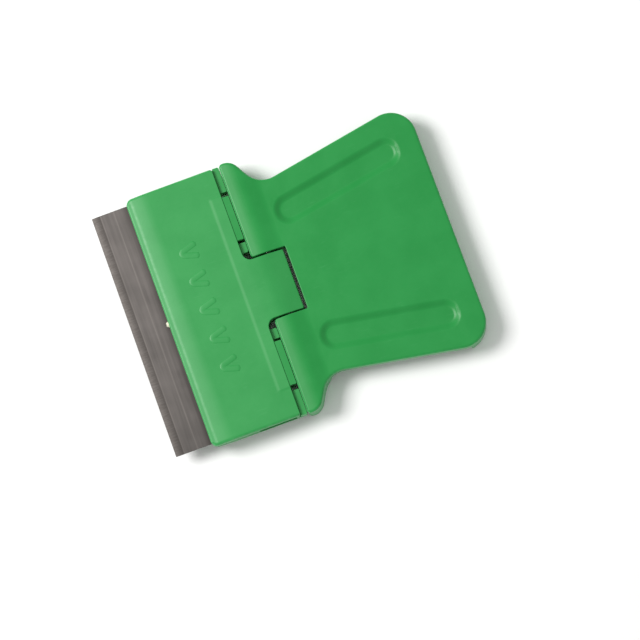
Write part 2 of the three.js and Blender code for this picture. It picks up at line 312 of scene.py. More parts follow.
def arc_points(centre_x, centre_z, radius, start, end, step=8):
    """Points (x, z) on an arc between two angles in degrees."""
    angles = np.radians(np.linspace(start, end, max(2, round(abs(end - start) / step)) + 1))
    return [(centre_x + radius * math.cos(a), centre_z + radius * math.sin(a)) for a in angles]


# %% [markdown]
# ## Cutting, joining and shading
# Bores and the blade's slot are cut with the Boolean modifier on closed meshes,
# as a drill or a core pin leaves them. Smooth shading alone smears the light at
# the joints of flats and rims, so each finished mesh gets sharp edges by angle
# and normals weighted by face area, and both are then stored in the mesh.

# %% Booleans and normals
SHARP_ANGLE = math.radians(38)
FACE_SIZE_WEIGHT = 100    # large faces alone set the normals that they share with small ones


def settle(piece):
    """Puts the modifiers' result into the piece's own mesh."""
    graph = bpy.context.evaluated_depsgraph_get()
    mesh = bpy.data.meshes.new_from_object(piece.evaluated_get(graph), preserve_all_data_layers=True,
                                           depsgraph=graph)
    mesh.name = piece.name
    piece.modifiers.clear()
    piece.data = mesh


def combine(piece, other, operation):
    """Cuts other from the piece, or joins it on, and removes other."""
    modifier = piece.modifiers.new("cut", "BOOLEAN")
    modifier.operation = operation
    modifier.solver = "EXACT"
    modifier.object = other
    settle(piece)
    bpy.data.objects.remove(other)


def absorb(piece, other, material_index=0):
    """Makes other a part of the piece's mesh, as a shell of its own that is sunk into it."""
    other.data.polygons.foreach_set("material_index", [material_index] * len(other.data.polygons))
    both = bmesh.new()
    both.from_mesh(piece.data)
    both.from_mesh(other.data)
    both.to_mesh(piece.data)
    both.free()
    bpy.data.objects.remove(other)


def shade(piece):
    """Smooth shading with sharp edges by angle and weighted normals."""
    piece.data.shade_smooth()
    piece.data.set_sharp_from_angle(angle=SHARP_ANGLE)
    weighted = piece.modifiers.new("weighted", "WEIGHTED_NORMAL")
    weighted.keep_sharp = True
    weighted.weight = FACE_SIZE_WEIGHT
    settle(piece)


def block(x0, x1, y0, y1, z0, z1):
    """A box used as a cutting tool."""
    corners = [(x, y, z) for x in (x0, x1) for y in (y0, y1) for z in (z0, z1)]
    faces = [(0, 1, 3, 2), (4, 6, 7, 5), (0, 4, 5, 1), (2, 3, 7, 6), (0, 2, 6, 4), (1, 5, 7, 3)]
    return built("block", [place(*corner) for corner in corners], faces)


def turned(name, profile, segments, ripple=lambda y, angle: 0.0):
    """A solid turned about the hinge axis from points (y, radius), whose ends close on the axis."""
    vertices, faces = [], []
    for y, radius in profile:
        for k in range(segments):
            angle = 2 * math.pi * k / segments
            r = radius + ripple(y, angle)
            vertices.append(place(HINGE.x + r * math.cos(angle), y, HINGE.z + r * math.sin(angle)))
    for ring in range(len(profile) - 1):
        for k in range(segments):
            a, b = ring * segments + k, ring * segments + (k + 1) % segments
            faces.append((a, a + segments, b + segments, b))
    faces.append(list(range(segments)))
    faces.append([len(vertices) - 1 - k for k in range(segments)])
    return built(name, vertices, faces)


# %% [markdown]
# ## Node trees as expressions
# A material is a small calculation. Wired by hand it is a tangle of Math nodes,
# so one class wraps a socket and lets Python's own + - * / write those nodes,
# and one method adds every other kind of node. Both serve the geometry trees too.

# %% The socket class and the node method
class Value:
    """A node's output socket that can be used in arithmetic."""

    def __init__(self, sheet, socket):
        self.sheet = sheet
        self.socket = socket

    def maths(self, operation, first, second):
        return self.sheet.node("ShaderNodeMath", {"operation": operation}, {0: first, 1: second})

    def __add__(self, other):
        return self.maths("ADD", self, other)

    __radd__ = __add__

    def __sub__(self, other):
        return self.maths("SUBTRACT", self, other)

    def __rsub__(self, other):
        return self.maths("SUBTRACT", other, self)

    def __mul__(self, other):
        return self.maths("MULTIPLY", self, other)

    def __truediv__(self, other):
        return self.maths("DIVIDE", self, other)

    def __pow__(self, other):
        return self.maths("POWER", self, other)

    def at_least(self, other):
        return self.maths("MAXIMUM", self, other)

    def at_most(self, other):
        return self.maths("MINIMUM", self, other)


class Sheet:
    """One node tree to which nodes are added."""

    def __init__(self, tree):
        self.tree = tree

    def node(self, kind, settings=None, values=None, output=0):
        """Adds a node: its settings first, then the values or links of its sockets."""
        node = self.tree.nodes.new(kind)
        for name, value in (settings or {}).items():
            setattr(node, name, value)
        for key, value in (values or {}).items():
            if isinstance(value, Value):
                self.tree.links.new(value.socket, node.inputs[key])
            else:
                node.inputs[key].default_value = value
        return Value(self, node.outputs[output])

    def ramp(self, value, low, high, to_low=0.0, to_high=1.0):
        """A smooth step of value between low and high."""
        return self.node("ShaderNodeMapRange", {"interpolation_type": "SMOOTHSTEP"},
                         {"Value": value, "From Min": low, "From Max": high,
                          "To Min": to_low, "To Max": to_high})

    def mix_colour(self, factor, first, second, blend="MIX"):
        return self.node("ShaderNodeMix", {"data_type": "RGBA", "blend_type": blend},
                         {"Factor": factor, 6: first, 7: second}, output=2)

    def millimetres(self, stretch=(1, 1, 1)):
        """Object coordinates in millimetres, squeezed by stretch along each axis."""
        own = self.node("ShaderNodeTexCoord", output=3)
        return self.node("ShaderNodeMapping", None,
                         {"Vector": own, "Scale": [factor / MM for factor in stretch]})

    def noise(self, size, detail=2.0, stretch=(1, 1, 1), roughness=0.5):
        """Cloudy noise from 0 to 1, whose lumps are about size millimetres across."""
        return self.node("ShaderNodeTexNoise", None,
                         {"Vector": self.millimetres(stretch), "Scale": 1 / size,
                          "Detail": detail, "Roughness": roughness})

    def bump(self, height, strength, distance, below=None):
        """A bump of height, over the bump below it. distance is in millimetres."""
        values = {"Height": height, "Strength": strength, "Distance": distance * MM}
        if below is not None:
            values["Normal"] = below
        return self.node("ShaderNodeBump", None, values)


def new_material(name):
    """A material, its sheet and its shader."""
    material = bpy.data.materials.new(name)
    material.use_nodes = True
    return material, Sheet(material.node_tree), material.node_tree.nodes["Principled BSDF"]


def plug(sheet, shader, **sockets):
    """Links values to the shader's sockets, whose names are given with underscores."""
    for name, value in sockets.items():
        sheet.tree.links.new(value.socket, shader.inputs[name.replace("_", " ")])


def linear(red, green, blue):
    """A colour picked as 0 to 255 screen values, as the shader wants it."""
    def one(level):
        share = level / 255
        return share / 12.92 if share <= 0.04045 else ((share + 0.055) / 1.055) ** 2.4
    return (one(red), one(green), one(blue), 1.0)


print("a mid green is", [round(c, 3) for c in linear(75, 166, 96)])

# %% Pieces grown by Geometry Nodes
PEG_SIDES = 28
SOCKET_KINDS = {int: "NodeSocketInt", float: "NodeSocketFloat", tuple: "NodeSocketVector"}


def grown(name, build, material, **values):
    """A piece made by a geometry tree. build adds its nodes, and values are its inputs."""
    tree = bpy.data.node_groups.new(name, "GeometryNodeTree")
    tree.interface.new_socket("Geometry", in_out="OUTPUT", socket_type="NodeSocketGeometry")
    sockets = {key: tree.interface.new_socket(key, in_out="INPUT", socket_type=SOCKET_KINDS[type(value)])
               for key, value in values.items()}
    sheet = Sheet(tree)
    inlet = tree.nodes.new("NodeGroupInput")
    shape = build(sheet, **{key: Value(sheet, inlet.outputs[key]) for key in values})
    loose = sheet.node("GeometryNodeRealizeInstances", None, {"Geometry": shape})
    painted = sheet.node("GeometryNodeSetMaterial", None, {"Geometry": loose, "Material": material})
    tree.links.new(painted.socket, tree.nodes.new("NodeGroupOutput").inputs[0])
    piece = linked_object(name, bpy.data.meshes.new(name))
    modifier = piece.modifiers.new(name, "NODES")
    modifier.node_group = tree
    for key, value in values.items():
        modifier[sockets[key].identifier] = value
    settle(piece)
    return piece


def in_row(sheet, shape, count, start, step):
    """Puts the shape at each point of a straight row."""
    row = sheet.node("GeometryNodeMeshLine", None,
                     {"Count": count, "Start Location": start, "Offset": step})
    return sheet.node("GeometryNodeInstanceOnPoints", None, {"Points": row, "Instance": shape})


def pegs(sheet, count, start, step, radius, depth):
    """A row of short round pegs."""
    peg = sheet.node("GeometryNodeMeshCylinder", None,
                     {"Vertices": PEG_SIDES, "Radius": radius, "Depth": depth})
    return in_row(sheet, peg, count, start, step)


print("kinds of input:", [kind.__name__ for kind in SOCKET_KINDS])

# %% [markdown]
# ## Green moulded plastic
# The mouldings come out of a lightly textured steel tool: a satin green with a
# grain of a tenth of a millimetre, faint flow clouds, and rims that are paler and
# smoother, partly rubbed in pockets and drawers and partly a painted highlight.
# That pale band follows the wear_and_highlight value stored on the mesh by
# distance from the rim, broken up by noise.

# %% The plastic
GRAIN_SIZE = 0.16
SPECKLE_SIZE = 0.6
SCUFF_SIZE = 0.5
SCUFF_STRETCH = (0.25, 3, 1)
CLOUD_SIZE = 5.0
PLASTIC_IOR = 1.49


def green_plastic(name, body, cloud, rubbed_and_highlight, roughness, shine):
    """Satin plastic with flow clouds, a fine grain, rims paled by rubbing and by a painted highlight, and a
    few scuffs.
    """
    material, sheet, shader = new_material(name)
    clouds = sheet.noise(CLOUD_SIZE, detail=3)
    speckle = sheet.noise(SPECKLE_SIZE, detail=2)
    grain = sheet.noise(GRAIN_SIZE, detail=1)
    scuffs = sheet.noise(SCUFF_SIZE, detail=2, stretch=SCUFF_STRETCH)
    wear_and_highlight = sheet.node("ShaderNodeAttribute", {"attribute_name": "wear_and_highlight"}, output=2)
    # pales the rims: partly wear, partly a painted highlight
    rub_and_highlight = sheet.ramp(wear_and_highlight + (speckle - 0.5) * 0.7, 0.45, 1.1)
    scratched = sheet.ramp(scuffs, 0.66, 0.74)
    tint = sheet.mix_colour(sheet.ramp(clouds, 0.3, 0.7), body, cloud)
    tint = sheet.mix_colour(rub_and_highlight * 0.4, tint, rubbed_and_highlight)
    tint = sheet.mix_colour(scratched * 0.08, tint, rubbed_and_highlight)
    dull = roughness + (speckle - 0.5) * 0.12 + scratched * 0.1 - rub_and_highlight * 0.06
    waves = sheet.bump(clouds, 0.25, 0.05)
    plug(sheet, shader, Base_Color=tint, Roughness=dull, Normal=sheet.bump(grain, 0.25, 0.006, waves))
    shader.inputs["IOR"].default_value = PLASTIC_IOR
    shader.inputs["Specular IOR Level"].default_value = shine
    return material


# the third colour is the rims' pale band: wear and a painted highlight
HEAD_GREEN = green_plastic("head green plastic", body=linear(40, 145, 69), cloud=linear(47, 150, 74),
                           rubbed_and_highlight=linear(86, 180, 113), roughness=0.4, shine=0.45)
# The handle's green is a darker copy of the head's green: painted shade, for the dimmer light on the
# handle.
SHADED_HANDLE_GREEN = green_plastic("handle green plastic with painted shade", body=linear(26, 138, 60), cloud=linear(33, 143, 65),
                             rubbed_and_highlight=linear(76, 176, 106), roughness=0.38, shine=0.38)

# %% [markdown]
# ## Ground steel, dulled metal and drawn wire
# The blade is strip steel: rolling leaves fine lines along it, grinding leaves
# a duller bevel with lines across it, and a film of oil clouds the flat. Where
# the blade enters the head it is darkened with painted shade. The lines are noise
# that is stretched along one axis. The spine is softer metal, and the pin is drawn wire.

# %% The metals
def lined_metal(name, dark, light, roughness, stretch, line_size, blotch_size):
    """Metal with fine lines along one axis and soft blotches."""
    material, sheet, shader = new_material(name)
    lines = sheet.noise(line_size, detail=3, stretch=stretch, roughness=0.6)
    blotches = sheet.noise(blotch_size, detail=3)
    tint = sheet.mix_colour(sheet.ramp(lines * 0.6 + blotches * 0.4, 0.35, 0.65), dark, light)
    dull = roughness + (blotches - 0.5) * 0.2 + (lines - 0.5) * 0.15
    plug(sheet, shader, Base_Color=tint, Roughness=dull, Normal=sheet.bump(lines, 0.3, 0.006))
    shader.inputs["Metallic"].default_value = 1.0
    return material


BEVEL_WIDTH = 1.3
LINE_BEHIND_EDGE = 3.3
HEAD_SHADE_WIDTH = 1.1


def stripe(sheet, along, start, end, soft=0.15):
    """1 between two distances, with soft flanks inside them, and 0 elsewhere."""
    return sheet.ramp(along, start, start + soft) * sheet.ramp(along, end - soft, end, 1.0, 0.0)


def blade_steel(name):
    """Strip steel with a ground bevel at the cutting edge."""
    material, sheet, shader = new_material(name)
    along_x = sheet.node("ShaderNodeSeparateXYZ", None, {0: sheet.millimetres()})
    behind_edge = along_x - EDGE_X / MM
    rolled = sheet.noise(0.35, detail=3, stretch=(1, 0.03, 1), roughness=0.6)
    ground = sheet.noise(0.12, detail=2, stretch=(0.05, 1, 1))
    film = sheet.noise(6.0, detail=3)
    bevel = sheet.ramp(behind_edge, BEVEL_WIDTH - 0.05, BEVEL_WIDTH + 0.05, 1.0, 0.0)
    shoulder = stripe(sheet, behind_edge, BEVEL_WIDTH - 0.1, BEVEL_WIDTH + 0.25)
    line = stripe(sheet, behind_edge, LINE_BEHIND_EDGE, LINE_BEHIND_EDGE + 0.35)
    # painted shade: the blade gets darker towards the head's front, as if the head shaded it
    painted_head_shade = sheet.ramp(behind_edge, HEAD_FRONT - HEAD_SHADE_WIDTH, HEAD_FRONT - 0.1)
    tint = sheet.mix_colour(sheet.ramp(rolled * 0.5 + film * 0.5, 0.3, 0.7),
                            linear(99, 95, 92), linear(108, 103, 100))
    tint = sheet.mix_colour(bevel * sheet.ramp(ground, 0.3, 0.7, 0.6, 1.0), tint, linear(78, 74, 71))
    tint = sheet.mix_colour((shoulder * 0.25 + line * 0.3).at_most(1.0), tint, linear(138, 132, 127))
    # mixes in the painted shade in front of the head
    tint = sheet.mix_colour(painted_head_shade * 0.6, tint, linear(66, 62, 60))
    lines = rolled * (1 - bevel) + ground * bevel
    plug(sheet, shader, Base_Color=tint, Roughness=0.38 + (film - 0.5) * 0.2 + (lines - 0.5) * 0.12,
         Normal=sheet.bump(lines, 0.15, 0.004))
    shader.inputs["Metallic"].default_value = 1.0
    return material


BLADE_STEEL = blade_steel("ground blade steel")
SPINE_METAL = lined_metal("dulled spine metal", dark=linear(92, 88, 85), light=linear(126, 122, 118),
                          roughness=0.42, stretch=(1, 0.05, 1), line_size=0.25, blotch_size=2.0)
PIN_STEEL = lined_metal("drawn pin steel", dark=linear(150, 150, 148), light=linear(190, 190, 188),
                        roughness=0.3, stretch=(1, 0.08, 1), line_size=0.2, blotch_size=1.5)


def stressed_plastic(name):
    """Pale plastic where the gate was torn off the moulding."""
    material, sheet, shader = new_material(name)
    crumbs = sheet.noise(0.2, detail=3)
    tint = sheet.mix_colour(sheet.ramp(crumbs, 0.35, 0.65), linear(196, 200, 170), linear(222, 218, 200))
    plug(sheet, shader, Base_Color=tint, Roughness=0.6 + (crumbs - 0.5) * 0.2,
         Normal=sheet.bump(crumbs, 0.6, 0.03))
    return material


GATE_PLASTIC = stressed_plastic("stressed gate plastic")
print("materials:", [m.name for m in bpy.data.materials])

# %% [markdown]
# ## The handle
# One flat moulding: a hinge barrel on both sides of a notch, a crown that runs
# down to a thin plate, a waist, and sides that flare to a rounded end with a
# lip underneath, behind which the folded edge lies. Two shallow channels follow
# the sides. The notch's edges are left crisp, because a wide rim there would
# turn the fine dark gap round the tab into a gutter.

# %% Shape of the handle
def smooth(share):
    """0 below 0, 1 above 1, and a smooth step between."""
    share = np.clip(share, 0, 1)
    return share * share * (3 - 2 * share)


def sloping(start, slopes, step=0.12):
    """The x and height along a surface, from its slope at a few distances behind start.

    The heights are counted from the highest point, so they are 0 or less.
    """
    along = np.arange(0, slopes[-1][0] + step / 2, step)
    slope = np.interp(along, *zip(*slopes))
    heights = np.concatenate([[0], np.cumsum((slope[1:] + slope[:-1]) / 2 * np.diff(along))])
    return start + along, heights - heights.max()


# The crown rises from the front edge, is level over the hinge, and falls to the plate.
# Each entry is a distance behind the front edge and the slope there.
CROWN_SLOPES = [(0, 0.14), (1.1, 0.12), (1.9, 0.03), (3.1, -0.21), (4.3, -0.21), (5.3, 0.0)]
crown_x, crown_height = sloping(HANDLE_LOW.x, CROWN_SLOPES)
crown_height *= (HANDLE_HIGH.z - PLATE_TOP) / -crown_height[-1]


def crown(x, y):
    """The top of the handle."""
    return HANDLE_HIGH.z + np.interp(x, crown_x, crown_height)


LIP_ROUND = 0.4


def handle_underside():
    """Profile (x, z) of the barrel's round underside, the plate, and the lip at the end."""
    foot = math.degrees(math.asin(HINGE.z / BARREL_RADIUS))
    meet = math.degrees(math.asin((PLATE_BOTTOM - HINGE.z) / BARREL_RADIUS))
    barrel = arc_points(HINGE.x, HINGE.z, BARREL_RADIUS, 180, 180 + foot) \
        + arc_points(HINGE.x, HINGE.z, BARREL_RADIUS, -foot, -meet)
    root = arc_points(LIP_FRONT - LIP_ROUND - 0.02, PLATE_BOTTOM - LIP_ROUND, LIP_ROUND, 90, 0, 15)
    nose = arc_points(LIP_FRONT + LIP_ROUND, LIP_ROUND, LIP_ROUND, 180, 270, 15)
    plate_start = (HINGE.x + BARREL_RADIUS + 0.02, PLATE_BOTTOM)
    return barrel + [plate_start] + root + nose + [(HANDLE_HIGH.x + 1, 0)]


def channel(side):
    """Outline of one channel, anticlockwise."""
    rear_inner = CHANNEL_INNER + FLARE * (CHANNEL_REAR - CHANNEL_FRONT)
    corners = [
        (CHANNEL_FRONT, side * CHANNEL_INNER, CHANNEL_ROUND),
        (CHANNEL_REAR, side * rear_inner, CHANNEL_ROUND),
        (CHANNEL_REAR, side * (rear_inner + CHANNEL_WIDTH), CHANNEL_ROUND),
        (CHANNEL_FRONT, side * (CHANNEL_INNER + CHANNEL_WIDTH), CHANNEL_ROUND),
    ]
    return corners if side > 0 else corners[::-1]


def handle_rim(x, y):
    """Crisp edges in the notch, and rounder ones elsewhere."""
    at_front = x < HANDLE_LOW.x + 0.1
    in_notch = (np.abs(y) < NOTCH_HALF + MOUTH_ROUND - 0.05) & ~at_front
    return np.select([in_notch, at_front], [0.1, 0.32], 0.38)


def handle_rim_under(x, y):
    """Small rims under the round barrels, and wider ones under the plate."""
    return np.where(x < HINGE.x + BARREL_RADIUS, 0.06, 0.3)


# A channel's wall is a soft slope from a little outside its outline to well inside it.
CHANNEL_INSETS = np.linspace(-0.55, 0.75, 14)
CHANNEL_DROPS = CHANNEL_DEPTH * smooth((CHANNEL_INSETS - CHANNEL_INSETS[0]) / np.ptp(CHANNEL_INSETS))

handle_corners = mirrored([
    (HANDLE_LOW.x, -NOTCH_HALF, MOUTH_ROUND),
    (HANDLE_LOW.x, -HANDLE_HIGH.y, 0.6),
    (HANDLE_LOW.x + 2, -HANDLE_HIGH.y, 2.3),
    (WAIST[0], -WAIST[1], WAIST[2]),
    (HANDLE_END[0], -HANDLE_END[1], HANDLE_END[2]),
])
handle_corners += [(NOTCH_REAR, NOTCH_HALF, 0.2), (NOTCH_REAR, -NOTCH_HALF, 0.2)]
underside = handle_underside()
crown_stations = crown_x[2::2].tolist() + [crown_x[-1]]
handle = moulded_plate("scraper_handle", handle_corners, crown, profile_height(underside),
                       handle_rim, handle_rim_under,
                       stations=[x for x, z in underside[1:-1]] + crown_stations,
                       sunk=[(channel(side), CHANNEL_INSETS, CHANNEL_DROPS) for side in (-1, 1)])
print("handle:", len(handle.data.polygons), "faces")

# %% Bore and ejector marks of the handle
EJECTOR_DEPTH = 0.08
BORE_SIDES = 48
PRESS_FIT_GAP = 0.03


def bore(start, end, gap):
    """A cutting tool for a hole round the pin, between two y."""
    radius = PIN_RADIUS + gap
    return turned("bore", [(start, radius), (end, radius)], BORE_SIDES)


combine(handle, bore(-PIN_HIGH.y - PRESS_FIT_GAP, HANDLE_HIGH.y + 2, PRESS_FIT_GAP), "DIFFERENCE")
for side in (-1, 1):
    first_mark = place(NOTCH_REAR + 3.2, side * 3.4, PLATE_BOTTOM)
    marks = grown("ejector_marks", pegs, SHADED_HANDLE_GREEN, count=3, start=first_mark,
                  step=(7.6 * MM, side * 0.5 * MM, 0.0), radius=1.25 * MM, depth=2 * EJECTOR_DEPTH * MM)
    combine(handle, marks, "DIFFERENCE")


def finished(piece, body, node, slot, *materials):
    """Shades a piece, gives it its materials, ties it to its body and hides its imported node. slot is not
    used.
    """
    faces = piece.data.polygons
    indices = np.zeros(len(faces), np.int32)
    faces.foreach_get("material_index", indices)
    piece.data.materials.clear()
    for material in materials:
        piece.data.materials.append(material)
    faces.foreach_set("material_index", indices)
    shade(piece)
    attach(piece, body)
    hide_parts(node)
    print(piece.name, len(piece.data.polygons), "faces")


finished(handle, "handle", "handle", "green_handle_plastic", SHADED_HANDLE_GREEN)

# %% [markdown]
# ## The cover
# The upper half of the head. Its top falls away towards the front, with a small
# step behind the front lip, and ends at the back in a slightly higher strip.
# The strip runs into the tab that the pin goes through, which is round
# underneath so that it can turn in the handle's notch. The cover is one plate
# with a height rule; the slot, the spine's pocket and the bore are cut from it.

# %% Shape of the cover
# Distances behind the front edge, and behind the tab's root, with the slope there.
FRONT_SLOPES = [(0, 0.15), (0.6, 0.1), (0.72, 0.25), (0.9, 0.25), (1.08, 0.13), (2.4, 0.09), (3.6, 0.0)]
TAB_SLOPES = [(0, 0.0), (0.8, -0.02), (3.1, -0.28), (5.0, -0.28)]
front_x, front_height = sloping(HEAD_FRONT, FRONT_SLOPES, step=0.06)
tab_x, tab_height = sloping(TAB_REAR - TAB_SLOPES[-1][0], TAB_SLOPES)
STRIP_END_SOFT = 0.25


def cover_top(x, y):
    """The height of the cover: its sloping front, the flat, the strip and the tab."""
    strip_end = smooth((RIDGE_HALF + STRIP_END_SOFT - np.abs(y)) / (2 * STRIP_END_SOFT))
    step_up = RIDGE_STEP * smooth((x - RIDGE_FRONT) / RIDGE_RAMP)
    long_rise = (1 - RIDGE_STEP) * smooth((x - RIDGE_FRONT) / RIDGE_RISE)
    strip = (RIDGE_TOP - HEAD_TOP) * (step_up + long_rise) * strip_end
    return HEAD_TOP + np.interp(x, front_x, front_height) + strip + np.interp(x, tab_x, tab_height)


def cover_underside():
    """Profile (x, z): the parting face, the back of the tray, and the tab's round underside."""
    foot = math.degrees(math.asin((HINGE.z - TAB_BOTTOM) / TAB_RADIUS))
    root = math.degrees(math.asin((HINGE.z - TRAY_LOW.z) / TAB_RADIUS))
    weld = HEAD_REAR + PARTING_GAP
    face = [(HEAD_FRONT - 1, PARTING + PARTING_GAP / 2), (weld, PARTING + PARTING_GAP / 2)]
    front = arc_points(HINGE.x, HINGE.z, TAB_RADIUS, 180 + root, 180 + foot)
    rear = arc_points(HINGE.x, HINGE.z, TAB_RADIUS, -foot, 0)
    return face + [(weld + 0.02, TRAY_LOW.z)] + front + rear


def cover_rim(x, y):
    """Full rims at the sides, smaller at the front and on the tab, and crisp at the tongues."""
    on_tab = x > HEAD_REAR + 0.5
    at_gap = x > HEAD_REAR - 0.05
    at_front = x < HEAD_FRONT + 0.05
    return np.select([on_tab, at_gap, at_front], [0.12, 0.06, 0.22], 0.45)


TAB_BOTTOM = 0.1
RUNNING_GAP = 0.07
cover_corners = mirrored([
    (HEAD_FRONT, -HEAD_HALF, 1.0),
    (HEAD_REAR, -HEAD_HALF, 0.4),
    (HEAD_REAR, -TAB_HALF, TAB_ROOT),
    (TAB_REAR, -TAB_HALF, 0.2),
])
underside = cover_underside()
top_stations = front_x[2::2].tolist()
top_stations += np.linspace(RIDGE_FRONT, RIDGE_FRONT + RIDGE_RAMP, 7).tolist()
top_stations += np.linspace(RIDGE_FRONT + RIDGE_RAMP, RIDGE_FRONT + RIDGE_RISE, 5)[1:].tolist()
top_stations += tab_x[2:-2:3].tolist()
strip_ends = [((RIDGE_FRONT - 0.3, y), (HEAD_REAR + 0.3, y))
              for y in [side * (RIDGE_HALF + share * STRIP_END_SOFT)
                        for side in (-1, 1) for share in (-1, -0.4, 0.4, 1)]]
cover = moulded_plate("scraper_head_cover", cover_corners, cover_top, profile_height(underside),
                      cover_rim, lambda x, y: np.full_like(x, 0.06),
                      stations=[x for x, z in underside[1:-1]] + top_stations, creases=strip_ends)


def blade_slot(floor, roof):
    """The thin slot that the blade slides in."""
    return block(HEAD_FRONT - 2, POCKET_FRONT + 0.1, -HEAD_HALF - 2, POCKET_END, floor, roof)


def spine_pocket(floor, roof):
    """The deeper pocket that the blade's spine slides in."""
    return block(POCKET_FRONT, POCKET_REAR, -HEAD_HALF - 2, POCKET_END, floor, roof)


combine(cover, blade_slot(PARTING - 0.1, BLADE_Z + SLOT_HALF), "DIFFERENCE")
combine(cover, spine_pocket(PARTING - 0.1, POCKET_ROOF), "DIFFERENCE")
combine(cover, bore(-TAB_HALF - 1, TAB_HALF + 1, RUNNING_GAP), "DIFFERENCE")
print("cover:", len(cover.data.polygons), "faces")

# %% [markdown]
# ### Raised arrowheads and the torn gate
# Five raised arrowheads point at the edge, in the place where a mark is usually
# moulded. Each is a round bar swept along a bent line and pressed flat, made by
# a node tree, so their number, pitch and stroke are its inputs. In front is the
# stub of the gate, where the plastic entered the mould: a pale half-round chip.

# %% Arrowheads
def arrowheads(sheet, count, pitch, tip, length, half_span, stroke, height):
    """A row of arrowheads along y, flattened from a bar swept along a bent line."""
    index = sheet.node("GeometryNodeInputIndex")
    bent = sheet.node("GeometryNodeMeshLine", None, {"Count": 3})
    from_middle = index - 1
    back = sheet.node("ShaderNodeMath", {"operation": "ABSOLUTE"}, {0: from_middle}) * (length - stroke)
    aside = from_middle * (half_span - stroke / 2)
    corner = sheet.node("ShaderNodeCombineXYZ", None, {"X": back, "Y": aside})
    bent = sheet.node("GeometryNodeSetPosition", None, {"Geometry": bent, "Position": corner})
    path = sheet.node("GeometryNodeMeshToCurve", None, {"Mesh": bent})
    path = sheet.node("GeometryNodeFilletCurve", {"mode": "POLY"},
                      {"Curve": path, "Count": 4, "Radius": stroke * 0.4})
    path = sheet.node("GeometryNodeResampleCurve", None, {"Curve": path, "Count": 33})
    along = sheet.node("GeometryNodeSplineParameter")
    to_end = (sheet.node("ShaderNodeMath", {"operation": "PINGPONG"}, {0: along, 1: 0.5}) * 14).at_most(1)
    round_end = (1 - (1 - to_end) * (1 - to_end)).at_least(0.02) ** 0.5
    section = sheet.node("GeometryNodeCurvePrimitiveCircle", None, {"Resolution": 16, "Radius": stroke / 2})
    bar = sheet.node("GeometryNodeCurveToMesh", None,
                     {"Curve": path, "Profile Curve": section, "Scale": round_end, "Fill Caps": True})
    squeeze = sheet.node("ShaderNodeCombineXYZ", None, {"X": 1.0, "Y": 1.0, "Z": height * 2 / stroke})
    flat = sheet.node("GeometryNodeTransform", None, {"Geometry": bar, "Scale": squeeze})
    first = (count - 1) * pitch * -0.5
    start = sheet.node("ShaderNodeVectorMath", {"operation": "ADD"},
                       {0: tip, 1: sheet.node("ShaderNodeCombineXYZ", None, {"Y": first})})
    step = sheet.node("ShaderNodeCombineXYZ", None, {"Y": pitch})
    return in_row(sheet, flat, count, start, step)


ARROW_HEIGHT = 0.07
ARROW_STROKE = 0.95
ARROW_SUNK = 0.005
ARROW_FRONT = HEAD_FRONT + 4.1
arrows = grown("arrowheads", arrowheads, HEAD_GREEN, count=5, pitch=4.6 * MM,
               tip=place(ARROW_FRONT + ARROW_STROKE / 2, 0, HEAD_TOP - ARROW_SUNK),
               length=4.4 * MM, half_span=1.5 * MM, stroke=ARROW_STROKE * MM, height=ARROW_HEIGHT * MM)
print("arrowheads:", len(arrows.data.polygons), "faces")
absorb(cover, arrows)


STUB_DEPTH = 0.34
STUB_HALF_WIDTH = 0.5
STUB_MIDDLE_Y = -0.1
STUB_ROOT = 0.1    # how far it reaches into the cover's front wall
STUB_TEAR = 0.06


def gate_stub():
    """A half-round chip in front of the cover's front wall, with an uneven torn face."""
    floor = BLADE_Z + SLOT_HALF + 0.05
    roof = HEAD_TOP + front_height[0] - 0.1
    middle_z, half_height = (floor + roof) / 2, (roof - floor) / 2
    chip = bmesh.new()
    rings = []
    for share in np.linspace(0, 1, 7):
        swell = math.sqrt(1 - (0.85 * share) ** 2)
        ring = []
        for angle in np.linspace(0, 2 * math.pi, 20, endpoint=False):
            tear = STUB_TEAR * math.sin(3 * angle + 1) * share
            x = HEAD_FRONT + STUB_ROOT - (STUB_DEPTH + STUB_ROOT) * share - tear
            y = STUB_HALF_WIDTH * swell * math.cos(angle) + STUB_MIDDLE_Y
            z = middle_z + half_height * swell * math.sin(angle)
            ring.append(chip.verts.new(place(x, y, z)))
        rings.append(ring)
    for near, far in zip(rings, rings[1:]):
        for k in range(len(near)):
            after = (k + 1) % len(near)
            chip.faces.new((near[k], near[after], far[after], far[k]))
    chip.faces.new(rings[0][::-1])
    chip.faces.new(rings[-1])
    bmesh.ops.recalc_face_normals(chip, faces=chip.faces)
    mesh = bpy.data.meshes.new("gate stub")
    chip.to_mesh(mesh)
    chip.free()
    return linked_object("gate stub", mesh)


absorb(cover, gate_stub(), material_index=1)
finished(cover, "head", "head_top_shell", "green_head_plastic", HEAD_GREEN, GATE_PLASTIC)

# %% [markdown]
# ## The tray
# The lower half of the head. It carries the spine's pocket, a long bevel under
# the front so that the blade can lie at a low angle, and the catch strip at the
# back: two tongues between slits, which stop against the handle's flanges, and a
# lower lip beside them. Slits, lips and tongues are one outline with a height rule.

# %% Shape of the tray
CATCH_REAR = TRAY_HIGH.x
TONGUE_TOP = TRAY_HIGH.z
LIP_HEIGHT = TONGUE_TOP - 0.62
TONGUE_FRONT = HEAD_REAR + 0.02
TONGUE_SLOPE = 0.15
TONGUE_INNER = 8.25
TONGUE_OUTER = 15.3
INNER_SLIT = 0.45
OUTER_SLIT = 0.8
LIP_INNER_END = 6.2
BEVEL_REAR = HEAD_FRONT + 3
BEVEL_Z = TRAY_LOW.z + 0.9
SLIT_ROUND = 0.08
STEP_WIDTH = 0.03


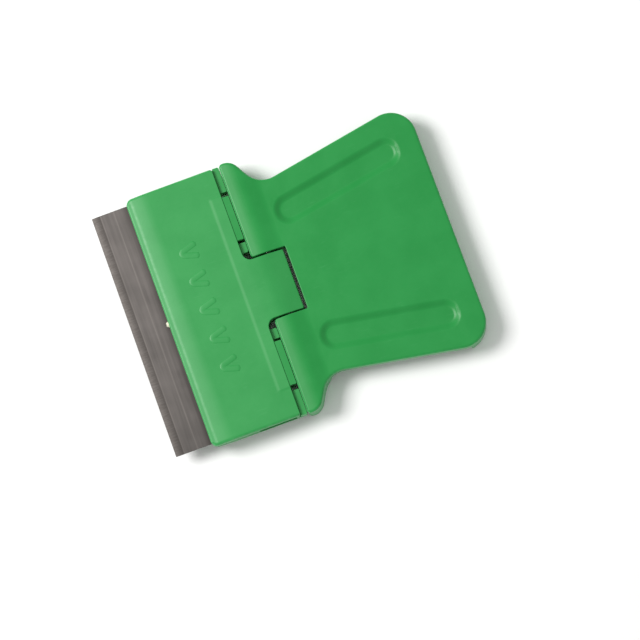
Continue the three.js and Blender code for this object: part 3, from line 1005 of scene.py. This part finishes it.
def tray_top(x, y):
    """The parting face, and behind it the tongues and the lips."""
    on_tongue = (np.abs(y) > TONGUE_INNER - 0.01) & (np.abs(y) < TONGUE_OUTER + 0.01)
    strip = np.where(on_tongue, TONGUE_TOP - TONGUE_SLOPE * (x - TONGUE_FRONT), LIP_HEIGHT)
    rise = np.clip((x - TONGUE_FRONT) / STEP_WIDTH, 0, 1)
    return (PARTING - PARTING_GAP / 2) * (1 - rise) + strip * rise


def slit(inner, outer):
    """The corners of one slit, between two distances from the middle, met from the far side."""
    return [(CATCH_REAR, -outer, SLIT_ROUND), (HEAD_REAR + 0.01, -outer, SLIT_ROUND),
            (HEAD_REAR + 0.01, -inner, SLIT_ROUND), (CATCH_REAR, -inner, SLIT_ROUND)]


tray_corners = mirrored(
    [(HEAD_FRONT, -HEAD_HALF, 1.0), (CATCH_REAR, -HEAD_HALF, 0.3)]
    + slit(TONGUE_OUTER, TONGUE_OUTER + OUTER_SLIT)
    + slit(TONGUE_INNER - INNER_SLIT, TONGUE_INNER)
    + [(CATCH_REAR, -LIP_INNER_END, 0.3), (HEAD_REAR, -LIP_INNER_END, 0.3)])
tray = moulded_plate("scraper_head_tray", tray_corners, tray_top,
                     profile_height([(HEAD_FRONT, BEVEL_Z), (BEVEL_REAR, TRAY_LOW.z),
                                     (CATCH_REAR, TRAY_LOW.z)]),
                     lambda x, y: np.full_like(x, 0.02), lambda x, y: np.where(x > HEAD_REAR, 0.07, 0.3),
                     stations=[BEVEL_REAR, TONGUE_FRONT, TONGUE_FRONT + STEP_WIDTH])
combine(tray, spine_pocket(POCKET_FLOOR, PARTING + 0.4), "DIFFERENCE")
for side in (-1, 1):
    first_mark = place(HEAD_FRONT + 5.5, side * 16.2, TRAY_LOW.z)
    marks = grown("ejector_marks", pegs, HEAD_GREEN, count=2, start=first_mark,
                  step=(0.0, -side * 10.0 * MM, 0.0), radius=1.1 * MM, depth=2 * EJECTOR_DEPTH * MM)
    combine(tray, marks, "DIFFERENCE")
finished(tray, "head", "head_bottom_shell", "green_head_plastic", HEAD_GREEN)

# %% [markdown]
# ## The blade and its spine
# A single-edge blade is a ground sheet with a strip folded over its back, which
# is crimped on in a row of shallow dimples. Both are profiles drawn out along
# the edge. The sheet gets its two real bevels, because the angle of the bevel
# is what makes it catch another part of the light than the flat.

# %% Blade, spine and pin
def drawn_out(name, profile, half_length):
    """A closed profile of (x, z) drawn out along y, between -half_length and half_length."""
    count = len(profile)
    vertices = [place(x, side * half_length, z) for side in (-1, 1) for x, z in profile]
    faces = [(k, (k + 1) % count, (k + 1) % count + count, k + count) for k in range(count)]
    faces += [tuple(range(count))[::-1], tuple(range(count, 2 * count))]
    piece = built(name, vertices, faces)
    solid = bmesh.new()
    solid.from_mesh(piece.data)
    bmesh.ops.recalc_face_normals(solid, faces=solid.faces)
    solid.to_mesh(piece.data)
    solid.free()
    return piece


BLADE_HALF = (BLADE_HIGH.z - BLADE_LOW.z) / 2
FINE_BEVEL = (0.3, 0.03)
EDGE_RADIUS = 0.004
blade = drawn_out("scraper_blade", [
    (BLADE_LOW.x, BLADE_Z - EDGE_RADIUS),
    (FINE_BEVEL[0], BLADE_Z - FINE_BEVEL[1]),
    (BEVEL_WIDTH, BLADE_Z - BLADE_HALF),
    (BLADE_HIGH.x, BLADE_Z - BLADE_HALF),
    (BLADE_HIGH.x, BLADE_Z + BLADE_HALF),
    (BEVEL_WIDTH, BLADE_Z + BLADE_HALF),
    (FINE_BEVEL[0], BLADE_Z + FINE_BEVEL[1]),
    (BLADE_LOW.x, BLADE_Z + EDGE_RADIUS),
], BLADE_HIGH.y)
finished(blade, "blade", "blade", "blade_steel", BLADE_STEEL)

FOLD_RADIUS = (SPINE_HIGH.z - SPINE_LOW.z) / 2
FOLD_CENTRE = SPINE_HIGH.x - FOLD_RADIUS
SPINE_CHAMFER = 0.12
CRIMP_GAP = 0.02
inner_half = BLADE_HALF + CRIMP_GAP
spine = drawn_out("scraper_blade_spine", [
    (SPINE_LOW.x, BLADE_Z - inner_half),
    (SPINE_LOW.x, BLADE_Z - FOLD_RADIUS + SPINE_CHAMFER),
    (SPINE_LOW.x + SPINE_CHAMFER, BLADE_Z - FOLD_RADIUS),
    *arc_points(FOLD_CENTRE, BLADE_Z, FOLD_RADIUS, -90, 90, 10),
    (SPINE_LOW.x + SPINE_CHAMFER, BLADE_Z + FOLD_RADIUS),
    (SPINE_LOW.x, BLADE_Z + FOLD_RADIUS - SPINE_CHAMFER),
    (SPINE_LOW.x, BLADE_Z + inner_half),
    (BLADE_HIGH.x + CRIMP_GAP, BLADE_Z + inner_half),
    (BLADE_HIGH.x + CRIMP_GAP, BLADE_Z - inner_half),
], SPINE_HIGH.y)
CRIMP_COUNT = 6
CRIMP_PITCH = 6.4
for z in (SPINE_LOW.z, SPINE_HIGH.z):
    dimples = grown("crimps", pegs, SPINE_METAL, count=CRIMP_COUNT,
                    start=place(SPINE_LOW.x + 2.3, -CRIMP_PITCH * (CRIMP_COUNT - 1) / 2, z),
                    step=(0.0, CRIMP_PITCH * MM, 0.0), radius=0.6 * MM, depth=0.16 * MM)
    combine(spine, dimples, "DIFFERENCE")
finished(spine, "blade", "blade_spine", "spine_metal", SPINE_METAL)

# %% [markdown]
# ### The hinge pin
# Drawn wire, cut and chamfered, with two knurled bands that grip the handle's
# flanges. The smooth length between them is the bearing that the tab turns on.
# The knurl is a ripple in the radius that stays inside the wire's own size.

# %% Hinge pin
KNURL_RIDGES = 24
KNURL_DEPTH = 0.04
KNURL_BAND = (PIN_HIGH.y - 3.6, PIN_HIGH.y - 0.8)
SIDES_PER_RIDGE = 8
CHAMFER = 0.25


def knurl(y, angle):
    """How far the radius is away from the wire's own, at a place on it."""
    in_band = KNURL_BAND[0] < abs(y) < KNURL_BAND[1]
    return -KNURL_DEPTH * (0.5 + 0.5 * math.cos(KNURL_RIDGES * angle)) if in_band else 0.0


pin_end = PIN_HIGH.y
pin_half = [(pin_end, 0.3), (pin_end, PIN_RADIUS - CHAMFER), (pin_end - CHAMFER, PIN_RADIUS),
            (KNURL_BAND[1], PIN_RADIUS), (KNURL_BAND[1] - 0.15, PIN_RADIUS),
            (KNURL_BAND[0] + 0.15, PIN_RADIUS), (KNURL_BAND[0], PIN_RADIUS)]
pin_profile = [(-y, radius) for y, radius in pin_half] + pin_half[::-1]
pin = turned("scraper_hinge_pin", pin_profile, SIDES_PER_RIDGE * KNURL_RIDGES, knurl)
finished(pin, "handle", "hinge_pin", "pin_steel", PIN_STEEL)

# %% [markdown]
# ## Table, light and camera
# The scraper lies on a plain white table in a bright room, under a soft light on
# the side of the cutting edge. Faces that slope towards that side get a pale
# veil, and those that slope away show the full green, so the small steps in the
# flat top can be read. The camera looks almost straight down.

# %% Table and light
def table_material():
    """Matt white with a trace of mottling."""
    material, sheet, shader = new_material("white table")
    mottle = sheet.noise(8.0, detail=2)
    tint = sheet.mix_colour(mottle, linear(250, 250, 249), linear(253, 253, 252))
    plug(sheet, shader, Base_Color=tint, Roughness=0.75 + mottle * 0.05)
    return material


TABLE_SIZE = 3.0
TABLE_GAP = 0.02
ROOM_BRIGHTNESS = 0.54
half = TABLE_SIZE / 2
table_corners = [(x, y, -TABLE_GAP * MM) for x in (-half, half) for y in (-half, half)]
table = built("table", table_corners, [(0, 2, 3, 1)])
table.data.materials.append(table_material())

world = bpy.data.worlds.new("bright room")
world.use_nodes = True
world.node_tree.nodes["Background"].inputs["Color"].default_value = (1, 1, 1, 1)
world.node_tree.nodes["Background"].inputs["Strength"].default_value = ROOM_BRIGHTNESS
bpy.context.scene.world = world


def soft_light(name, direction, distance, size, power):
    """A square soft light, in the given direction from the scraper, that points at it."""
    lamp = bpy.data.lights.new(name, "AREA")
    lamp.size = size
    lamp.energy = power
    lamp_object = bpy.data.objects.new(name, lamp)
    away = Vector(direction).normalized()
    lamp_object.location = away * distance
    lamp_object.rotation_euler = away.to_track_quat("Z", "Y").to_euler()
    bpy.context.scene.collection.objects.link(lamp_object)


soft_light("key", direction=(-0.72, 0.36, 1.0), distance=0.4, size=0.17, power=1.42)

# %% Camera
# The camera leans towards negative y by the tilt, and is then turned about its own view.
CAMERA_TURN = math.radians(19.9)
CAMERA_TILT = math.radians(9)
CAMERA_DISTANCE = 0.45
PICTURE_WIDTH = 96.7
TARGET = Vector(place(HINGE.x + 3.9, -7.31, BLADE_Z))
camera_data = bpy.data.cameras.new("camera")
camera_data.lens = camera_data.sensor_width * CAMERA_DISTANCE / (PICTURE_WIDTH * MM)
camera_data.clip_start = 0.01
camera = bpy.data.objects.new("camera", camera_data)
bpy.context.scene.collection.objects.link(camera)
backward = Vector((0, -math.sin(CAMERA_TILT), math.cos(CAMERA_TILT)))
upward = Vector((math.sin(CAMERA_TURN), math.cos(CAMERA_TURN), 0))
rightward = upward.cross(backward).normalized()
upward = backward.cross(rightward)
turn = Matrix((rightward, upward, backward)).transposed()
camera.matrix_world = Matrix.Translation(TARGET + backward * CAMERA_DISTANCE) @ turn.to_4x4()
bpy.context.scene.camera = camera
bpy.context.scene.view_settings.view_transform = "Standard"
